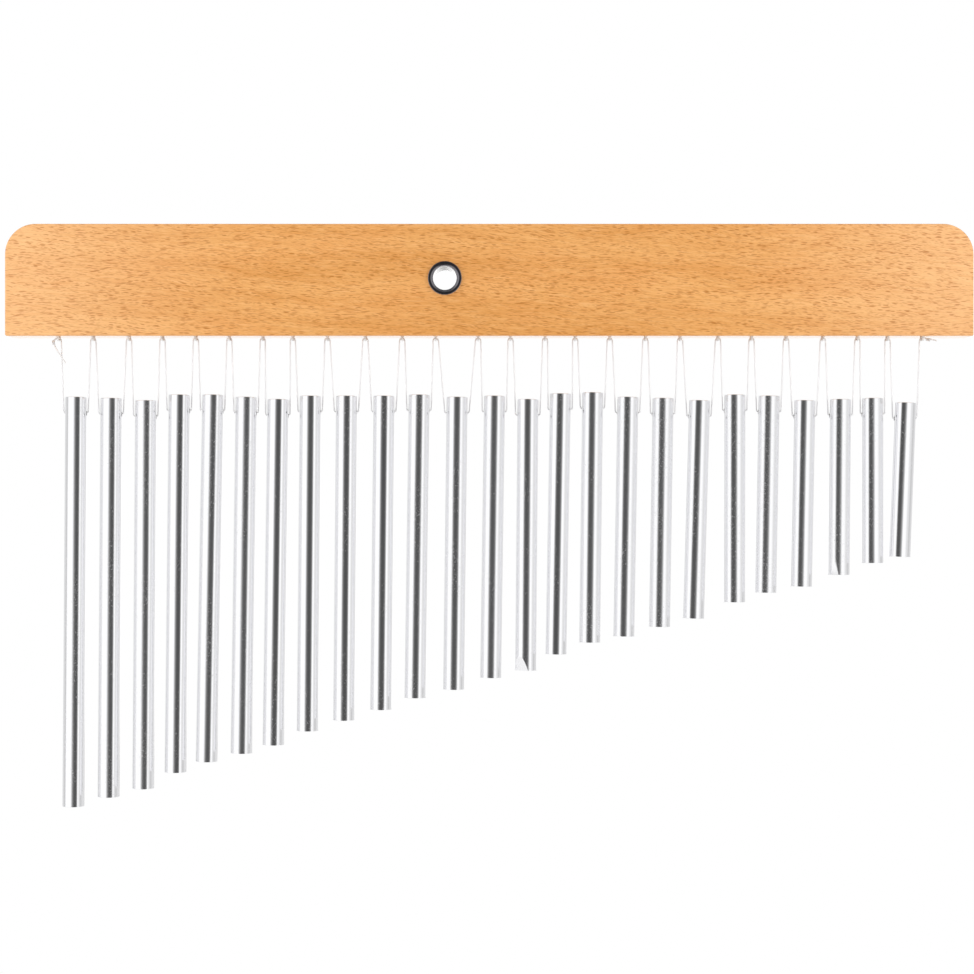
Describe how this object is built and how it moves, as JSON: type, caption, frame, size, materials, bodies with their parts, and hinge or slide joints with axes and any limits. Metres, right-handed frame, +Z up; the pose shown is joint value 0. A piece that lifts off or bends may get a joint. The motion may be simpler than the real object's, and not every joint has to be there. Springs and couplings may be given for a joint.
{
  "type": "bar chimes",
  "caption": "Wooden bar with a stand bore and a row of hanging metal chimes of stepped lengths, threaded on one nylon line that runs over staples under the bar.",
  "frame": {"origin": "middle of the bore through the two eyelets, where a stand holds the bar", "axes": "+X along the bar to the short chimes, +Y from the front of the bar to its back, +Z up from the chimes to the bar"},
  "size_m": [0.425, 0.0202, 0.2567],
  "materials": {
    "beech": "satin lacquer",
    "nickel": "dark nickel plate",
    "staple_wire": "galvanised wire",
    "chime_metal": "polished",
    "nylon": "clear, glossy"
  },
  "bodies": {
    "bar": {"bar": "beech", "front_eyelet": "nickel", "rear_eyelet": "nickel", "staples": "staple_wire", "line_end_right": "nylon"},
    "span_01": {"line_span_01": "nylon", "line_end_left": "nylon"},
    "chime_01": {"chime_01": "chime_metal"},
    "span_02": {"line_span_02": "nylon"},
    "chime_02": {"chime_02": "chime_metal"},
    "span_03": {"line_span_03": "nylon"},
    "chime_03": {"chime_03": "chime_metal"},
    "span_04": {"line_span_04": "nylon"},
    "chime_04": {"chime_04": "chime_metal"},
    "span_05": {"line_span_05": "nylon"},
    "chime_05": {"chime_05": "chime_metal"},
    "span_06": {"line_span_06": "nylon"},
    "chime_06": {"chime_06": "chime_metal"},
    "span_07": {"line_span_07": "nylon"},
    "chime_07": {"chime_07": "chime_metal"},
    "span_08": {"line_span_08": "nylon"},
    "chime_08": {"chime_08": "chime_metal"},
    "span_09": {"line_span_09": "nylon"},
    "chime_09": {"chime_09": "chime_metal"},
    "span_10": {"line_span_10": "nylon"},
    "chime_10": {"chime_10": "chime_metal"},
    "span_11": {"line_span_11": "nylon"},
    "chime_11": {"chime_11": "chime_metal"},
    "span_12": {"line_span_12": "nylon"},
    "chime_12": {"chime_12": "chime_metal"},
    "span_13": {"line_span_13": "nylon"},
    "chime_13": {"chime_13": "chime_metal"},
    "span_14": {"line_span_14": "nylon"},
    "chime_14": {"chime_14": "chime_metal"},
    "span_15": {"line_span_15": "nylon"},
    "chime_15": {"chime_15": "chime_metal"},
    "span_16": {"line_span_16": "nylon"},
    "chime_16": {"chime_16": "chime_metal"},
    "span_17": {"line_span_17": "nylon"},
    "chime_17": {"chime_17": "chime_metal"},
    "span_18": {"line_span_18": "nylon"},
    "chime_18": {"chime_18": "chime_metal"},
    "span_19": {"line_span_19": "nylon"},
    "chime_19": {"chime_19": "chime_metal"},
    "span_20": {"line_span_20": "nylon"},
    "chime_20": {"chime_20": "chime_metal"},
    "span_21": {"line_span_21": "nylon"},
    "chime_21": {"chime_21": "chime_metal"},
    "span_22": {"line_span_22": "nylon"},
    "chime_22": {"chime_22": "chime_metal"},
    "span_23": {"line_span_23": "nylon"},
    "chime_23": {"chime_23": "chime_metal"},
    "span_24": {"line_span_24": "nylon"},
    "chime_24": {"chime_24": "chime_metal"},
    "span_25": {"line_span_25": "nylon"},
    "chime_25": {"chime_25": "chime_metal"}
  },
  "joints": [
    {"name": "swing_01", "type": "hinge", "parent": "bar", "child": "span_01", "pos_m": [-0.16335, 0, -0.02572], "axis": [1, 0, 0], "range_deg": [-75, 75]},
    {"name": "rock_01", "type": "hinge", "parent": "span_01", "child": "chime_01", "pos_m": [-0.16393, 0, -0.0588], "axis": [0, 1, 0], "range_deg": [-1.9, 3.5]},
    {"name": "swing_02", "type": "hinge", "parent": "bar", "child": "span_02", "pos_m": [-0.1478, 0, -0.02572], "axis": [1, 0, 0], "range_deg": [-75, 75]},
    {"name": "rock_02", "type": "hinge", "parent": "span_02", "child": "chime_02", "pos_m": [-0.14837, 0, -0.0593], "axis": [0, 1, 0], "range_deg": [-1.9, 1.9]},
    {"name": "swing_03", "type": "hinge", "parent": "bar", "child": "span_03", "pos_m": [-0.1325, 0, -0.02572], "axis": [1, 0, 0], "range_deg": [-75, 75]},
    {"name": "rock_03", "type": "hinge", "parent": "span_03", "child": "chime_03", "pos_m": [-0.13305, 0, -0.0603], "axis": [0, 1, 0], "range_deg": [-1.6, 1.9]},
    {"name": "swing_04", "type": "hinge", "parent": "bar", "child": "span_04", "pos_m": [-0.1177, 0, -0.02572], "axis": [1, 0, 0], "range_deg": [-75, 75]},
    {"name": "rock_04", "type": "hinge", "parent": "span_04", "child": "chime_04", "pos_m": [-0.1185, 0, -0.0578], "axis": [0, 1, 0], "range_deg": [-1.4, 1.5]},
    {"name": "swing_05", "type": "hinge", "parent": "bar", "child": "span_05", "pos_m": [-0.1029, 0, -0.02572], "axis": [1, 0, 0], "range_deg": [-75, 75]},
    {"name": "rock_05", "type": "hinge", "parent": "span_05", "child": "chime_05", "pos_m": [-0.10419, 0, -0.0578], "axis": [0, 1, 0], "range_deg": [-2, 1.4]},
    {"name": "swing_06", "type": "hinge", "parent": "bar", "child": "span_06", "pos_m": [-0.0881, 0, -0.02572], "axis": [1, 0, 0], "range_deg": [-75, 75]},
    {"name": "rock_06", "type": "hinge", "parent": "span_06", "child": "chime_06", "pos_m": [-0.0891, 0, -0.0588], "axis": [0, 1, 0], "range_deg": [-1.6, 2.1]},
    {"name": "swing_07", "type": "hinge", "parent": "bar", "child": "span_07", "pos_m": [-0.07405, 0, -0.02572], "axis": [1, 0, 0], "range_deg": [-75, 75]},
    {"name": "rock_07", "type": "hinge", "parent": "span_07", "child": "chime_07", "pos_m": [-0.07502, 0, -0.0598], "axis": [0, 1, 0], "range_deg": [-2.1, 1.3]},
    {"name": "swing_08", "type": "hinge", "parent": "bar", "child": "span_08", "pos_m": [-0.05975, 0, -0.02572], "axis": [1, 0, 0], "range_deg": [-75, 75]},
    {"name": "rock_08", "type": "hinge", "parent": "span_08", "child": "chime_08", "pos_m": [-0.06033, 0, -0.0583], "axis": [0, 1, 0], "range_deg": [-2.6, 2.1]},
    {"name": "swing_09", "type": "hinge", "parent": "bar", "child": "span_09", "pos_m": [-0.0437, 0, -0.02572], "axis": [1, 0, 0], "range_deg": [-75, 75]},
    {"name": "rock_09", "type": "hinge", "parent": "span_09", "child": "chime_09", "pos_m": [-0.04426, 0, -0.0583], "axis": [0, 1, 0], "range_deg": [-2.8, 2.6]},
    {"name": "swing_10", "type": "hinge", "parent": "bar", "child": "span_10", "pos_m": [-0.02715, 0, -0.02572], "axis": [1, 0, 0], "range_deg": [-75, 75]},
    {"name": "rock_10", "type": "hinge", "parent": "span_10", "child": "chime_10", "pos_m": [-0.0278, 0, -0.0583], "axis": [0, 1, 0], "range_deg": [-2.4, 2.8]},
    {"name": "swing_11", "type": "hinge", "parent": "bar", "child": "span_11", "pos_m": [-0.0116, 0, -0.02572], "axis": [1, 0, 0], "range_deg": [-75, 75]},
    {"name": "rock_11", "type": "hinge", "parent": "span_11", "child": "chime_11", "pos_m": [-0.01243, 0, -0.0578], "axis": [0, 1, 0], "range_deg": [-3.3, 2.3]},
    {"name": "swing_12", "type": "hinge", "parent": "bar", "child": "span_12", "pos_m": [0.0052, 0, -0.02572], "axis": [1, 0, 0], "range_deg": [-75, 75]},
    {"name": "rock_12", "type": "hinge", "parent": "span_12", "child": "chime_12", "pos_m": [0.0045, 0, -0.0588], "axis": [0, 1, 0], "range_deg": [-3.1, 3.3]},
    {"name": "swing_13", "type": "hinge", "parent": "bar", "child": "span_13", "pos_m": [0.02175, 0, -0.02572], "axis": [1, 0, 0], "range_deg": [-75, 75]},
    {"name": "rock_13", "type": "hinge", "parent": "span_13", "child": "chime_13", "pos_m": [0.02098, 0, -0.0583], "axis": [0, 1, 0], "range_deg": [-2.8, 2.2]},
    {"name": "swing_14", "type": "hinge", "parent": "bar", "child": "span_14", "pos_m": [0.03655, 0, -0.02572], "axis": [1, 0, 0], "range_deg": [-75, 75]},
    {"name": "rock_14", "type": "hinge", "parent": "span_14", "child": "chime_14", "pos_m": [0.03609, 0, -0.0598], "axis": [0, 1, 0], "range_deg": [-1.9, 2.8]},
    {"name": "swing_15", "type": "hinge", "parent": "bar", "child": "span_15", "pos_m": [0.05085, 0, -0.02572], "axis": [1, 0, 0], "range_deg": [-75, 75]},
    {"name": "rock_15", "type": "hinge", "parent": "span_15", "child": "chime_15", "pos_m": [0.04997, 0, -0.0573], "axis": [0, 1, 0], "range_deg": [-2.7, 1.1]},
    {"name": "swing_16", "type": "hinge", "parent": "bar", "child": "span_16", "pos_m": [0.06515, 0, -0.02572], "axis": [1, 0, 0], "range_deg": [-75, 75]},
    {"name": "rock_16", "type": "hinge", "parent": "span_16", "child": "chime_16", "pos_m": [0.06456, 0, -0.0568], "axis": [0, 1, 0], "range_deg": [-2.9, 2.7]},
    {"name": "swing_17", "type": "hinge", "parent": "bar", "child": "span_17", "pos_m": [0.0807, 0, -0.02572], "axis": [1, 0, 0], "range_deg": [-75, 75]},
    {"name": "rock_17", "type": "hinge", "parent": "span_17", "child": "chime_17", "pos_m": [0.0799, 0, -0.0588], "axis": [0, 1, 0], "range_deg": [-3.5, 3]},
    {"name": "swing_18", "type": "hinge", "parent": "bar", "child": "span_18", "pos_m": [0.09625, 0, -0.02572], "axis": [1, 0, 0], "range_deg": [-75, 75]},
    {"name": "rock_18", "type": "hinge", "parent": "span_18", "child": "chime_18", "pos_m": [0.09557, 0, -0.0593], "axis": [0, 1, 0], "range_deg": [-3.2, 2.9]},
    {"name": "swing_19", "type": "hinge", "parent": "bar", "child": "span_19", "pos_m": [0.1123, 0, -0.02572], "axis": [1, 0, 0], "range_deg": [-75, 75]},
    {"name": "rock_19", "type": "hinge", "parent": "span_19", "child": "chime_19", "pos_m": [0.11116, 0, -0.0603], "axis": [0, 1, 0], "range_deg": [-5.4, 2.2]},
    {"name": "swing_20", "type": "hinge", "parent": "bar", "child": "span_20", "pos_m": [0.1281, 0, -0.02572], "axis": [1, 0, 0], "range_deg": [-75, 75]},
    {"name": "rock_20", "type": "hinge", "parent": "span_20", "child": "chime_20", "pos_m": [0.12803, 0, -0.0578], "axis": [0, 1, 0], "range_deg": [-2.8, 3.4]},
    {"name": "swing_21", "type": "hinge", "parent": "bar", "child": "span_21", "pos_m": [0.14315, 0, -0.02572], "axis": [1, 0, 0], "range_deg": [-75, 75]},
    {"name": "rock_21", "type": "hinge", "parent": "span_21", "child": "chime_21", "pos_m": [0.14252, 0, -0.0583], "axis": [0, 1, 0], "range_deg": [-4.3, 2.8]},
    {"name": "swing_22", "type": "hinge", "parent": "bar", "child": "span_22", "pos_m": [0.15895, 0, -0.02572], "axis": [1, 0, 0], "range_deg": [-75, 75]},
    {"name": "rock_22", "type": "hinge", "parent": "span_22", "child": "chime_22", "pos_m": [0.1583, 0, -0.0603], "axis": [0, 1, 0], "range_deg": [-5.3, 3.1]},
    {"name": "swing_23", "type": "hinge", "parent": "bar", "child": "span_23", "pos_m": [0.17475, 0, -0.02572], "axis": [1, 0, 0], "range_deg": [-75, 75]},
    {"name": "rock_23", "type": "hinge", "parent": "span_23", "child": "chime_23", "pos_m": [0.17447, 0, -0.0598], "axis": [0, 1, 0], "range_deg": [-4.3, 3.3]},
    {"name": "swing_24", "type": "hinge", "parent": "bar", "child": "span_24", "pos_m": [0.18905, 0, -0.02572], "axis": [1, 0, 0], "range_deg": [-75, 75]},
    {"name": "rock_24", "type": "hinge", "parent": "span_24", "child": "chime_24", "pos_m": [0.18905, 0, -0.0593], "axis": [0, 1, 0], "range_deg": [-1.9, 2.1]},
    {"name": "swing_25", "type": "hinge", "parent": "bar", "child": "span_25", "pos_m": [0.20335, 0, -0.02572], "axis": [1, 0, 0], "range_deg": [-75, 75]},
    {"name": "rock_25", "type": "hinge", "parent": "span_25", "child": "chime_25", "pos_m": [0.20232, 0, -0.0613], "axis": [0, 1, 0], "range_deg": [-6, 1.5]}
  ]
}
